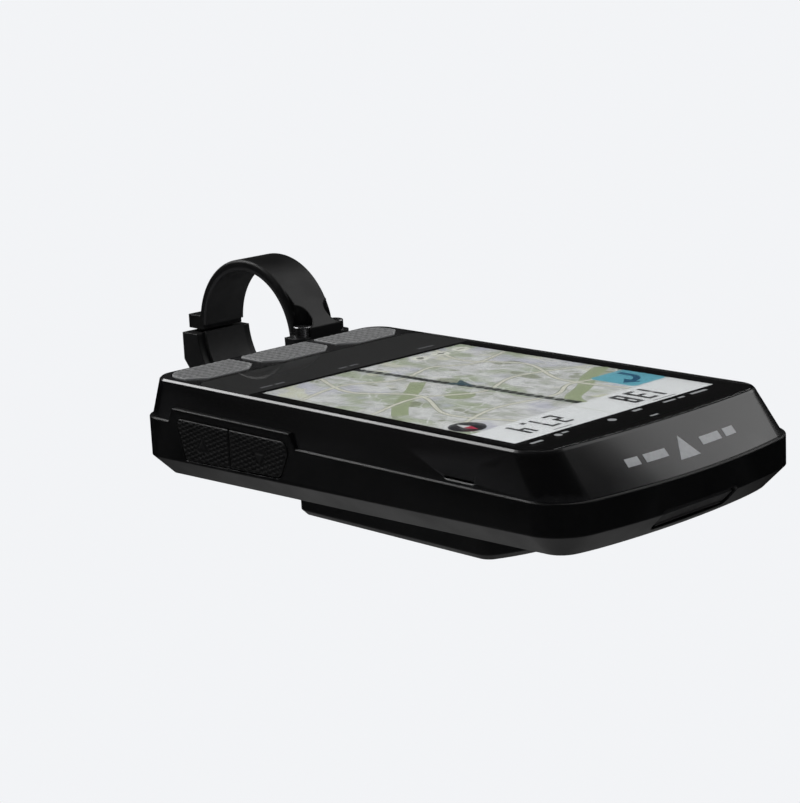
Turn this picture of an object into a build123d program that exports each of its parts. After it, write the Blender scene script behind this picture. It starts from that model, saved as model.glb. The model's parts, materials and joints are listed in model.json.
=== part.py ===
"""Cycling computer on its out-front handlebar mount, as separate pieces.

Millimetres. The origin is the centre of the handlebar clamp's bore. +X is the rider's right, along the
bar, +Y is the riding direction and +Z is up. The case has its own levels: x from its centreline, y from
its rear edge and z from the top of the glass, which is level 0.
"""

from build123d import *
from math import atan, degrees
import os

# Handlebar clamp
BAR_R = 15.9
LINER = 0.75
RING_IN = BAR_R + LINER
RING_OUT = 18.4
CLAMP_WIDTH = 12.0
LUG_HALF = 8.3
LUG_FRONT = 22.0
CAP_FLANGE = (-0.4, 1.8)
LUG_TOP = -1.2
SCREW_X = 4.9
SCREW_Y = 19.4
STRAP_HALF = 4.95
HEAD_HALF = 20.0
HEAD_LOW = -28.5

# Case
CASE_LENGTH = 126.0
CASE_HALF = 35.0
NOSE_BOW = 4.0
LEDGE = -8.35
BOTTOM_REAR = -21.6
BOTTOM_NOSE = -19.0
RIM_HALF = 33.3
RIM_REAR = 3.2
RIM_FRONT = 117.5
TOP_SKIN = 2.4
FLOOR = 1.6
CHAMFER = 4.5
NOSE_CORNER = 9.0
REAR_CORNER = 6.5

# Quarter turn
TURN_FROM_REAR = 60.0
REACH = 88.0
HUB_R = 11.2
TAB_R = 13.75
TAB_THICK = 1.7
TAB_ARC = 58.0

# Where the case stands in the shared frame
CASE_X = 25.6
CASE_REAR = REACH - TURN_FROM_REAR
CASE_TOP = 3.8

# Levels inside the case
GLASS = 1.1
GASKET_TOP = -5.1
GASKET = 0.8
BOARD_TOP = -8.0
BOARD = 1.0
CAVITY_STEP = -15.5

# Buttons
KEY_X = 21.65
KEY_HALF = (9.7, 9.25)
KEY_RISE = 0.3
KEY_STEM = -6.25
KEY_GAP = 0.2
SIDE_KEYS = (13.4, 50.6)
BAND_REAR, BAND_FRONT = 10.6, 51.7  # ends of the raised band around the side buttons
POWER_KEY = (20.0, 34.0)
SEAM = 31.0
SIDE_SWITCHES = (22.3, 40.7)
RAISED = 2.9
SWITCH = 4.4

# Charging port, at the level of its centre, and the bead its cover turns on
PORT = -15.9
PORT_BOARD = PORT + 1.63
PORT_BEAD = (122.0, -17.25)

# Fasteners
CASE_SCREWS = [(-25.6, 21.8), (25.6, 21.8), (-24.0, 111.8), (24.0, 111.8)]
CASE_SCREW_SEAT = -16.2


def level(z):
    """Horizontal plane at a case level: sketch x is across the case, sketch y is along it."""
    return Plane((CASE_X, CASE_REAR, CASE_TOP + z))


def side(x):
    """Upright plane across the case at x: sketch x runs forward, sketch y is the level, normal +X."""
    return Plane((CASE_X + x, CASE_REAR, CASE_TOP), x_dir=(0, 1, 0), z_dir=(1, 0, 0))


def front(y):
    """Upright plane across the case at y: sketch x is across the case, sketch y is the level, normal -Y."""
    return Plane((CASE_X, CASE_REAR + y, CASE_TOP), x_dir=(1, 0, 0), z_dir=(0, -1, 0))


def bottom(lift):
    """Plane of the case's sloping underside, raised by lift."""
    slope = degrees(atan((BOTTOM_NOSE - BOTTOM_REAR) / CASE_LENGTH))
    tilted = Plane((CASE_X, CASE_REAR, CASE_TOP + BOTTOM_REAR)).rotated((slope, 0, 0))
    return tilted.offset(lift)


def turn(z):
    """Horizontal plane at a case level, centred on the quarter turn's axis."""
    return Plane((CASE_X, REACH, CASE_TOP + z))


def bar(x):
    """Upright plane across the bar at x: sketch x runs forward, sketch y is up, normal +X."""
    return Plane((x, 0, 0), x_dir=(0, 1, 0), z_dir=(1, 0, 0))


def plan(half, rear, front, bow, radius, rear_radius):
    """Plan outline with rounded corners and a front edge bowed forward by bow."""
    with BuildSketch(mode=Mode.PRIVATE) as outline:
        with BuildLine():
            Polyline((-half, front - bow), (-half, rear), (half, rear), (half, front - bow))
            ThreePointArc((half, front - bow), (0, front), (-half, front - bow))
        make_face()
        fillet(outline.vertices().group_by(Axis.Y)[0], rear_radius)
        fillet(outline.vertices().group_by(Axis.Y)[-1], radius)
    return outline.sketch


def shell_plan(inset):
    """Plan outline of the lower case's side wall, moved inward."""
    corners = NOSE_CORNER - inset, REAR_CORNER - inset
    return plan(CASE_HALF - inset, inset, CASE_LENGTH - inset, NOSE_BOW, *corners)


def seal_plan(inset):
    """Plan outline of the seal's track, which runs inside the walls and behind the nose."""
    return plan(33.0 - inset, 2.3 + inset, 118.7 - inset, 3.2, 6.8 - inset, 6.0 - inset)


# ---------------------------------------------------------------- case shells


def side_button_band(inset_from, inset_to, low, high, grow):
    """Stretch of both side walls that rises around the side buttons, with sloping ends."""
    with BuildPart() as band:
        with BuildSketch(side(0)):
            with BuildLine():
                Polyline(
                    (BAND_REAR - grow, low), (BAND_REAR + 1.8 - grow, high),
                    (BAND_FRONT - 1.8 + grow, high), (BAND_FRONT + grow, low), close=True,
                )
            make_face()
        extrude(amount=CASE_HALF + 1.0, both=True)
        with BuildSketch(level(-12.0)):
            add(shell_plan(inset_from))
            if inset_to < CASE_HALF:
                add(shell_plan(inset_to), mode=Mode.SUBTRACT)
        extrude(amount=12.0, mode=Mode.INTERSECT)
    return band.part


def top_housing():
    with BuildPart() as housing:
        with BuildSketch(level(LEDGE)):
            add(plan(34.4, 0.6, 125.4, NOSE_BOW, 8.6, 6.2))
        with BuildSketch(level(-0.4)):
            add(plan(RIM_HALF + 0.05, RIM_REAR - 0.15, RIM_FRONT + 0.4, 2.1, 6.7, 5.4))
        with BuildSketch(level(0)):
            add(plan(RIM_HALF - 0.35, RIM_REAR + 0.25, RIM_FRONT, 2.0, 6.3, 5.0))
        loft(ruled=True)

        # Space below: a wide bay over the lower case's upstand, then a narrower one under the top skin
        with BuildSketch(level(LEDGE)):
            add(seal_plan(0))
        extrude(amount=GASKET_TOP - LEDGE, mode=Mode.SUBTRACT)
        with BuildSketch(level(LEDGE)):
            add(plan(31.6, 3.9, 115.6, 2.4, 5.4, 4.6))
        extrude(amount=-TOP_SKIN - LEDGE, mode=Mode.SUBTRACT)

        # Notches for the raised stretches of the lower case
        add(side_button_band(-1.0, CASE_HALF, LEDGE - 0.1, LEDGE + RAISED + 0.05, 0.1), mode=Mode.SUBTRACT)

        # Seat for the glass, the display window and the three button openings
        with BuildSketch(level(0)):
            add(plan(32.5, 16.4, 116.9, 2.0, 4.6, 4.6))
        extrude(amount=-GLASS - 0.15, mode=Mode.SUBTRACT)
        with BuildSketch(level(0)):
            with Locations((0, 68.0)):
                Rectangle(59.2, 80.0)
        extrude(amount=-TOP_SKIN, mode=Mode.SUBTRACT)
        with BuildSketch(level(0)):
            for place in (-1, 0, 1):
                add(key_plan(place, KEY_GAP))
        extrude(amount=-TOP_SKIN, mode=Mode.SUBTRACT)

        # Sound slot low on the right side
        with BuildSketch(side(RIM_HALF - 3.0)):
            with Locations((96.8, LEDGE + 0.8)):
                SlotOverall(7.8, 0.8)
        extrude(amount=4.0, mode=Mode.SUBTRACT)

        # Screw posts
        with BuildSketch(level(-TOP_SKIN + 0.6)):
            with Locations(*CASE_SCREWS):
                Circle(1.95)
        extrude(amount=-(9.05 - TOP_SKIN + 0.6))
        with BuildSketch(level(-9.05)):
            with Locations(*CASE_SCREWS):
                Circle(1.0)
        extrude(amount=6.5, mode=Mode.SUBTRACT)
    return housing


def lower_cavity(lift, half_high, half_low):
    """Room inside the lower case: wide above CAVITY_STEP, narrower below, with a sloping floor."""
    with BuildPart() as room:
        with BuildSketch(level(CAVITY_STEP)):
            add(seal_plan(33.0 - half_high))
        extrude(amount=12.0)
        with BuildSketch(level(-24.0)):
            add(seal_plan(33.0 - half_low))
        extrude(amount=24.0 + CAVITY_STEP)
        split(bisect_by=bottom(lift), keep=Keep.TOP)
    return room.part


def bottom_housing():
    with BuildPart() as housing:
        with BuildSketch(level(-24.0)):
            add(shell_plan(0))
        extrude(amount=24.0 + LEDGE)
        split(bisect_by=bottom(0), keep=Keep.TOP)
        chamfer(housing.faces().sort_by(Axis.Z)[0].edges(), CHAMFER)
        fillet(housing.faces().sort_by(Axis.Z)[-1].edges(), 0.35)
        add(side_button_band(0, 1.9, LEDGE - 0.6, LEDGE + RAISED, 0))

        # Upstand that carries the seal
        with BuildSketch(level(LEDGE)):
            add(seal_plan(0.1))
        extrude(amount=GASKET_TOP - GASKET - LEDGE)
        add(lower_cavity(FLOOR, 31.9, 29.2), mode=Mode.SUBTRACT)

        # Floor under the quarter-turn plate, and its screw bosses
        with BuildSketch(turn(-19.3)):
            Circle(18.4)
        extrude(amount=1.0)
        with BuildSketch(turn(-18.6)):
            with PolarLocations(14.2, 4, 45):
                Circle(2.5)
        extrude(amount=1.6)
        with BuildSketch(turn(-24.0)):
            Circle(17.1)
        extrude(amount=24.0 - 19.3, mode=Mode.SUBTRACT)
        with BuildSketch(turn(-19.4)):
            with PolarLocations(14.2, 4, 45):
                Circle(1.0)
        extrude(amount=2.0, mode=Mode.SUBTRACT)

        # Tubes for the case screws, counterbored from below
        for spots, foot in ((CASE_SCREWS[:2], -20.0), (CASE_SCREWS[2:], -18.4)):
            with BuildSketch(level(foot)):
                with Locations(*spots):
                    Circle(2.6)
            extrude(amount=-9.15 - foot)
        with BuildSketch(level(CASE_SCREW_SEAT)):
            with Locations(*CASE_SCREWS):
                Circle(1.9)
        extrude(amount=-6.0, mode=Mode.SUBTRACT)
        with BuildSketch(level(-19.0)):
            with Locations(*CASE_SCREWS):
                Circle(1.1)
        extrude(amount=10.0, mode=Mode.SUBTRACT)

        # Side button openings
        for sign, left, right in ((1, *SIDE_KEYS), (-1, *POWER_KEY)):
            with BuildSketch(side(sign * 31.0)):
                add(side_key_plan(left, right, KEY_GAP))
            extrude(amount=sign * 6.0, mode=Mode.SUBTRACT)

        # Recess and opening for the charging port, vent hole, and posts for the port's board
        with BuildSketch(front(119.9)):
            with Locations((0, PORT - 0.05)):
                RectangleRounded(22.4, 4.1, 1.2)
        extrude(amount=-8.0, mode=Mode.SUBTRACT)
        with BuildSketch(level(PORT)):
            with Locations((0, 117.2)):
                Rectangle(9.3, 6.6)
        extrude(amount=1.8, both=True, mode=Mode.SUBTRACT)
        with BuildSketch(bottom(-1.0)):
            with Locations((-22.0, 103.0)):
                Circle(0.8)
        extrude(amount=4.0, mode=Mode.SUBTRACT)
        with BuildSketch(level(-18.6)):
            with Locations((-6.6, 106.5), (6.6, 106.5)):
                Circle(1.2)
        extrude(amount=18.6 + PORT_BOARD)
    return housing


def housing_gasket():
    with BuildPart() as gasket:
        with BuildSketch(level(GASKET_TOP - GASKET)):
            add(seal_plan(0.15))
            add(seal_plan(1.05), mode=Mode.SUBTRACT)
        extrude(amount=GASKET)
    return gasket


def housing_screws():
    with BuildPart() as screws:
        with BuildSketch(level(CASE_SCREW_SEAT - 1.3)):
            with Locations(*CASE_SCREWS):
                Circle(1.8)
        extrude(amount=1.3)
        with BuildSketch(level(CASE_SCREW_SEAT)):
            with Locations(*CASE_SCREWS):
                Circle(0.97)
        extrude(amount=12.6)
        with BuildSketch(level(CASE_SCREW_SEAT - 1.3)):
            with Locations(*CASE_SCREWS):
                RegularPolygon(0.85, 6)
        extrude(amount=0.8, mode=Mode.SUBTRACT)
    return screws


# ---------------------------------------------------------------- glass and display


def cover_glass():
    with BuildPart() as glass:
        with BuildSketch(level(-GLASS)):
            add(plan(32.4, 16.5, 116.8, 2.0, 4.5, 4.5))
        extrude(amount=GLASS)
        chamfer(glass.faces().sort_by(Axis.Z)[-1].edges(), 0.2)
    return glass


def glass_adhesive():
    with BuildPart() as adhesive:
        with BuildSketch(level(-GLASS - 0.15)):
            add(plan(32.2, 16.7, 116.6, 2.0, 4.3, 4.3))
            with Locations((0, 68.0)):
                Rectangle(59.8, 80.6, mode=Mode.SUBTRACT)
        extrude(amount=0.15)
    return adhesive


def display_panel():
    with BuildPart() as panel:
        with BuildSketch(level(-3.1)):
            with Locations((0, 68.0)):
                RectangleRounded(58.4, 79.2, 1.0)
        extrude(amount=3.1 - 1.2)
    return panel


def display_frame():
    with BuildPart() as frame:
        with BuildSketch(level(-4.4)):
            with Locations((0, 68.0)):
                RectangleRounded(58.8, 79.6, 1.2)
        extrude(amount=1.3)
        with BuildSketch(level(-3.1)):
            with Locations((0, 68.0)):
                RectangleRounded(57.2, 78.0, 1.0)
        extrude(amount=-0.8, mode=Mode.SUBTRACT)
    return frame


def ribbon(points, bend, width):
    """Flat flexible circuit that follows points in the case's side view."""
    with BuildPart() as strip:
        with BuildSketch(side(0)):
            with BuildLine() as path:
                FilletPolyline(*points, radius=bend)
            trace(path.edges(), line_width=0.2)
        extrude(amount=width / 2, both=True)
    return strip


# ---------------------------------------------------------------- electronics


def main_board():
    with BuildPart() as board:
        with BuildSketch(level(BOARD_TOP - BOARD)):
            add(plan(29.6, 5.6, 114.6, 2.0, 4.0, 4.0))
            with Locations(*CASE_SCREWS):
                Circle(2.3, mode=Mode.SUBTRACT)
        extrude(amount=BOARD)
    return board


def shield_can():
    with BuildPart() as can:
        with BuildSketch(level(BOARD_TOP)):
            with Locations((-6.0, 58.0)):
                RectangleRounded(34.0, 26.0, 1.0)
        extrude(amount=1.9)
        offset(amount=-0.25, openings=can.faces().sort_by(Axis.Z)[0])
    return can


def chip(size, z, height, centre, radius=0.3):
    """Small rounded block that stands on a board, or hangs from it when height is negative."""
    with BuildPart() as block:
        with BuildSketch(level(z)):
            with Locations(centre):
                RectangleRounded(size[0], size[1], radius)
        extrude(amount=height)
    return block


def buzzer():
    with BuildPart() as sounder:
        with BuildSketch(level(BOARD_TOP - BOARD)):
            with Locations((26.7, 92.0)):
                RectangleRounded(8.5, 8.5, 0.6)
        extrude(amount=-2.2)
        with BuildSketch(level(BOARD_TOP - BOARD - 2.2)):
            with Locations((26.7, 92.0)):
                Circle(1.0)
        extrude(amount=1.0, mode=Mode.SUBTRACT)
    return sounder


def vent_membrane():
    with BuildPart() as membrane:
        with BuildSketch(bottom(FLOOR)):
            with Locations((-22.0, 103.0)):
                Circle(2.6)
        extrude(amount=0.3)
    return membrane


def battery():
    with BuildPart() as cell:
        with BuildSketch(level(-16.0)):
            with Locations((0, 67.0)):
                RectangleRounded(44.0, 62.0, 2.0)
        extrude(amount=5.6)
        fillet(cell.edges().filter_by(Plane.XY), 0.9)
    return cell


def battery_pad():
    with BuildPart() as pad:
        with BuildSketch(level(-16.8)):
            with Locations((0, 67.0)):
                RectangleRounded(38.0, 54.0, 1.5)
        extrude(amount=0.8)
    return pad


def battery_lead():
    with BuildPart() as lead:
        for x in (-1.2, 1.2):
            with BuildLine(side(x)) as path:
                Bezier((98.05, -12.6), (100.0, -12.6), (99.2, -9.9), (101.15, -9.9))
            with BuildSketch(Plane(path.line @ 0, z_dir=path.line % 0)):
                Circle(0.55)
            sweep(path=path.line)
    return lead


def usb_receptacle():
    with BuildPart() as socket:
        with BuildSketch(front(112.4)):
            with Locations((0, PORT)):
                SlotOverall(8.94, 3.26)
        extrude(amount=-7.3)
        with BuildSketch(front(119.7)):
            with Locations((0, PORT)):
                SlotOverall(8.34, 2.56)
        extrude(amount=6.2, mode=Mode.SUBTRACT)
        with BuildSketch(front(119.0)):
            with Locations((0, PORT)):
                Rectangle(6.6, 0.7)
        extrude(amount=5.6)
    return socket


def upright_board(x, thick, rear, front_end):
    """Small circuit board that stands along a side wall."""
    with BuildPart() as board:
        with BuildSketch(side(x)):
            with Locations(((rear + front_end) / 2, -12.75)):
                RectangleRounded(front_end - rear, 5.1, 0.5)
        extrude(amount=thick)
    return board


# ---------------------------------------------------------------- switches and buttons


def key_centre(place):
    return place * KEY_X, 10.1


def key_plan(place, grow):
    """Plan of one rear button: a rounded bar with its front corners cut back.

    place is -1, 0 or 1 for left, centre and right. The outer corners of the end buttons follow the case.
    """
    half = KEY_HALF[0] if place == 0 else KEY_HALF[1]
    outer_rear = 1.2 if place == 0 else 5.0
    with BuildSketch(mode=Mode.PRIVATE) as key:
        with BuildLine():
            Polyline(
                (-half, -5.5), (half, -5.5), (half, 2.2), (half - 3.6, 5.5), (3.6 - half, 5.5), (-half, 2.2),
                close=True,
            )
        make_face()
        corners = key.vertices()
        rear = corners.group_by(Axis.Y)[0].sort_by(Axis.X)
        outer = rear[-1] if place >= 0 else rear[0]
        fillet(outer, outer_rear)
        fillet(key.vertices().group_by(Axis.Y)[-1], 1.6)
        if grow > 0:
            offset(amount=grow)
    x, y = key_centre(place)
    return Pos(x, y) * key.sketch


def rear_button(place):
    """Rubber-skinned key: a cap in the opening, a retaining flange under the skin and a stem."""
    with BuildPart() as key:
        with BuildSketch(level(-2.55)):
            add(key_plan(place, 0))
        extrude(amount=2.55 + KEY_RISE)
        fillet(key.faces().sort_by(Axis.Z)[-1].edges(), 0.35)
        with BuildSketch(level(-3.3)):
            add(key_plan(place, 0.5))
        extrude(amount=0.8)
        with BuildSketch(level(KEY_STEM)):
            with Locations(key_centre(place)):
                RectangleRounded(4.0, 3.0, 0.6)
        extrude(amount=-3.2 - KEY_STEM)
    return key


def rear_switches():
    with BuildPart() as switches:
        with BuildSketch(level(BOARD_TOP)):
            with Locations(*[key_centre(place) for place in (-1, 0, 1)]):
                RectangleRounded(SWITCH, SWITCH, 0.4)
        extrude(amount=1.2)
        with BuildSketch(level(BOARD_TOP + 1.2)):
            with Locations(*[key_centre(place) for place in (-1, 0, 1)]):
                Circle(1.15)
        extrude(amount=-1.0, mode=Mode.SUBTRACT)
    return switches


def rear_plunger(place):
    with BuildPart() as plunger:
        with BuildSketch(level(-7.2)):
            with Locations(key_centre(place)):
                Circle(1.1)
        extrude(amount=7.2 + KEY_STEM)
    return plunger


def side_floor(y):
    """Level of a side button's lower edge, which follows the case's sloping underside."""
    return -16.35 + 0.024 * y


def side_key_plan(rear, front_end, grow):
    """Outline of a side button, or of its opening, in the side view."""
    top = LEDGE + 1.0
    with BuildSketch(mode=Mode.PRIVATE) as key:
        with BuildLine():
            Polyline(
                (rear, top), (rear + 2.9, side_floor(rear)), (front_end - 4.0, side_floor(front_end)),
                (front_end, top), close=True,
            )
        make_face()
        fillet(key.vertices().sort_by(Axis.X)[:1], 1.2)
        fillet(key.vertices().sort_by(Axis.X)[-2:], 2.0)
        if grow > 0:
            offset(amount=grow)
    return key.sketch


def side_key_half(rear, front_end, keep_rear, grow):
    """One of the two side buttons: half of the shared outline, on one side of the seam."""
    with BuildSketch(mode=Mode.PRIVATE) as half:
        add(side_key_plan(rear, front_end, grow))
        centre = SEAM - 30.08 if keep_rear else SEAM + 30.08
        with Locations((centre, -12.0)):
            Rectangle(60.0, 20.0, mode=Mode.INTERSECT)
    return half.sketch


def side_button(keep_rear):
    """Right side button: a face proud of the wall, a flange behind the wall and a pad on the switch."""
    with BuildPart() as key:
        with BuildSketch(side(31.5)):
            add(side_key_half(*SIDE_KEYS, keep_rear, 0))
        extrude(amount=3.8)
        fillet(key.faces().sort_by(Axis.X)[-1].edges(), 0.5)
        with BuildSketch(side(31.25)):
            with Locations((SIDE_SWITCHES[0 if keep_rear else 1], -12.75)):
                RectangleRounded(16.0, 5.2, 1.0)
        extrude(amount=0.55)
    return key


def power_button():
    with BuildPart() as key:
        with BuildSketch(side(-31.5)):
            add(side_key_plan(*POWER_KEY, 0))
        extrude(amount=-3.7)
        fillet(key.faces().sort_by(Axis.X)[0].edges(), 0.5)
        with BuildSketch(side(-31.25)):
            with Locations((27.5, -12.75)):
                RectangleRounded(11.0, 5.2, 1.0)
        extrude(amount=-0.55)
    return key


def side_switches(sign, places):
    with BuildPart() as switches:
        with BuildSketch(side(sign * 29.7)):
            with Locations(*[(y, -12.75) for y in places]):
                RectangleRounded(3.6, 3.6, 0.3)
        extrude(amount=sign * 1.0)
        with BuildSketch(side(sign * 30.7)):
            with Locations(*[(y, -12.75) for y in places]):
                Circle(0.95)
        extrude(amount=-sign * 0.9, mode=Mode.SUBTRACT)
    return switches


def side_plunger(sign, y):
    with BuildPart() as plunger:
        with BuildSketch(side(sign * 30.3)):
            with Locations((y, -12.75)):
                Circle(0.9)
        extrude(amount=sign * 0.95)
    return plunger


def port_cover():
    """Rubber flap in the nose's lower edge, with a bead it turns on and a nub that plugs the port."""
    with BuildPart() as flap:
        with BuildSketch(side(0)):
            with BuildLine():
                Polyline(
                    (123.4, -14.1), (124.6, -14.1), (124.6, -15.0),
                    (122.3, -17.3), (121.5, -16.4), (123.4, -14.5), close=True,
                )
            make_face()
        extrude(amount=11.0, both=True)
        with BuildSketch(front(119.0)):
            with Locations((0, PORT - 0.03)):
                RectangleRounded(21.0, 3.7, 1.0)
        extrude(amount=-8.0, mode=Mode.INTERSECT)
        with BuildSketch(side(0)):
            with Locations(PORT_BEAD):
                Circle(0.5)
        extrude(amount=9.6, both=True)
        with BuildSketch(front(119.75)):
            with Locations((0, PORT)):
                SlotOverall(8.0, 1.9)
        extrude(amount=-2.6)
    return flap


# ---------------------------------------------------------------- quarter turn


def four_screws(plane, radius, head_r, head_deep, shank_r, length):
    """Four flat-head screws on a circle, with their heads on the plane and their shanks along its normal."""
    with BuildPart() as screws:
        with BuildSketch(plane):
            with PolarLocations(radius, 4, 45):
                Circle(head_r)
        extrude(amount=head_deep)
        with BuildSketch(plane):
            with PolarLocations(radius, 4, 45):
                Circle(shank_r)
        extrude(amount=length)
        with BuildSketch(plane):
            with PolarLocations(radius, 4, 45):
                RegularPolygon(0.8, 6)
        extrude(amount=head_deep * 0.6, mode=Mode.SUBTRACT)
    return screws


def quarter_turn_plate():
    with BuildPart() as plate:
        with BuildSketch(turn(-20.6)):
            Circle(17.0)
        extrude(amount=1.3)
        with BuildSketch(turn(-20.6)):
            Circle(HUB_R)
        extrude(amount=-4.2)
        with BuildSketch(turn(-24.8)):
            tab_sectors(TAB_R, 0)
        extrude(amount=TAB_THICK)
        with BuildSketch(turn(-24.8)):
            Circle(HUB_R - 2.0)
        extrude(amount=3.0, mode=Mode.SUBTRACT)
        with BuildSketch(turn(-20.6)):
            with PolarLocations(14.2, 4, 45):
                Circle(1.85)
        extrude(amount=0.75, mode=Mode.SUBTRACT)
        with BuildSketch(turn(-20.6)):
            with PolarLocations(14.2, 4, 45):
                Circle(1.05)
        extrude(amount=1.3, mode=Mode.SUBTRACT)
    return plate


def tab_sectors(radius, turned):
    """Two opposite sectors, TAB_ARC wide, for the bayonet's tabs or the slots that pass them."""
    for start in (turned - TAB_ARC / 2, turned + 180.0 - TAB_ARC / 2):
        with BuildLine() as sector:
            CenterArc((0, 0), radius, start, TAB_ARC)
            Line((0, 0), sector.edges()[0] @ 0)
            Line((0, 0), sector.edges()[0] @ 1)
        make_face(sector.edges())


def socket_insert():
    with BuildPart() as insert:
        with BuildSketch(turn(-26.2)):
            Circle(18.6)
        extrude(amount=26.2 - 21.3)
        with BuildSketch(turn(-25.0)):
            Circle(TAB_R + 0.35)
        extrude(amount=25.0 - 22.9, mode=Mode.SUBTRACT)
        with BuildSketch(turn(-22.9)):
            Circle(HUB_R + 0.2)
            tab_sectors(TAB_R + 0.35, 90.0)
        extrude(amount=22.9 - 21.3, mode=Mode.SUBTRACT)
        with BuildSketch(turn(-21.3)):
            with PolarLocations(16.35, 4, 45):
                Circle(1.75)
        extrude(amount=-0.75, mode=Mode.SUBTRACT)
        with BuildSketch(turn(-21.3)):
            with PolarLocations(16.35, 4, 45):
                Circle(1.05)
        extrude(amount=-5.0, mode=Mode.SUBTRACT)
    return insert


# ---------------------------------------------------------------- handlebar mount


def ring_half(low, high, width):
    """Half of the clamp's ring between two heights, outside the liner."""
    with BuildPart() as ring:
        with BuildSketch(bar(0)):
            Circle(RING_OUT)
            Circle(RING_IN, mode=Mode.SUBTRACT)
            with Locations((0, (low + high) / 2)):
                Rectangle(60.0, high - low, mode=Mode.INTERSECT)
        extrude(amount=width / 2, both=True)
        outer = ring.edges().filter_by(GeomType.CIRCLE).filter_by(lambda edge: edge.radius > RING_IN + 1.0)
        fillet(outer, 0.8)
    return ring.part


def head_plan():
    """Plan of the mount's head: straight sides, square rear and a bowed front."""
    with BuildSketch(mode=Mode.PRIVATE) as head:
        with BuildLine():
            Polyline((-HEAD_HALF, 28.5), (-HEAD_HALF, -27.0), (HEAD_HALF, -27.0), (HEAD_HALF, 28.5))
            ThreePointArc((HEAD_HALF, 28.5), (0, 34.0), (-HEAD_HALF, 28.5))
        make_face()
        fillet(head.vertices().group_by(Axis.Y)[0], 3.0)
        fillet(head.vertices().group_by(Axis.Y)[-1], 4.0)
    return head.sketch


def beam_plan():
    """Plan of the beam between the clamp and the head, from the turn axis's place."""
    with BuildSketch(mode=Mode.PRIVATE) as beam:
        with BuildLine():
            Polyline((-CASE_X - 8.0, -91.0), (8.0 - CASE_X, -91.0))
            Spline((8.0 - CASE_X, -91.0), (-14.0, -66.0), (14.0, -25.0), tangents=((0, 1), (0.6, 1)))
            Line((14.0, -25.0), (-17.0, -25.0))
            Spline((-17.0, -25.0), (-29.0, -58.0), (-CASE_X - 8.0, -91.0), tangents=((-0.6, -1), (0, -1)))
        make_face()
    return beam.sketch


def mount_arm():
    with BuildPart() as arm:
        # Head and beam in one outline, waisted in plan, with the underside's edges cut back
        with BuildSketch(turn(HEAD_LOW)):
            add(head_plan())
            add(beam_plan())
        extrude(amount=-21.3 - HEAD_LOW)
        chamfer(arm.faces().sort_by(Axis.Z)[0].edges(), 1.2)
        with BuildSketch(turn(-22.0)):
            with Locations((0, -27.0 - 50.0)):
                Rectangle(120.0, 100.0)
        extrude(amount=2.0, mode=Mode.SUBTRACT)

        # Lower half of the ring, with a block under it and the two lugs
        add(ring_half(-30.0, LUG_TOP, CLAMP_WIDTH + 4.0))
        with BuildSketch(bar(0)):
            with BuildLine():
                Polyline(
                    (16.0, LUG_TOP), (LUG_FRONT, LUG_TOP), (LUG_FRONT, -9.0), (15.0, -24.7), (-3.0, -24.7),
                    (-13.0, -19.0), (-22.4, -8.0), (-22.4, LUG_TOP), (-16.0, LUG_TOP), close=True,
                )
            make_face()
        extrude(amount=LUG_HALF, both=True)
        with BuildSketch(bar(0)):
            Circle(RING_IN)
        extrude(amount=20.0, both=True, mode=Mode.SUBTRACT)

        # Seat for the socket insert and its screws
        with BuildSketch(turn(-26.25)):
            Circle(18.7)
        extrude(amount=6.0, mode=Mode.SUBTRACT)
        with BuildSketch(turn(-26.25)):
            with PolarLocations(16.35, 4, 45):
                Circle(1.02)
        extrude(amount=-1.5, mode=Mode.SUBTRACT)

        # Pockets for the brass inserts in the front lug, and the hook's slot in the rear lug
        with BuildSketch(Plane.XY.offset(LUG_TOP)):
            with Locations((-SCREW_X, SCREW_Y), (SCREW_X, SCREW_Y)):
                Circle(1.8)
        extrude(amount=-7.0, mode=Mode.SUBTRACT)
        with BuildSketch(Plane.XY.offset(LUG_TOP)):
            with Locations((-SCREW_X, SCREW_Y), (SCREW_X, SCREW_Y)):
                Circle(1.3)
        extrude(amount=-10.5, mode=Mode.SUBTRACT)
        with BuildSketch(Plane.XY.offset(LUG_TOP)):
            with Locations((0, -19.9)):
                Rectangle(10.4, 2.0)
        extrude(amount=-5.4, mode=Mode.SUBTRACT)
    return arm


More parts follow.
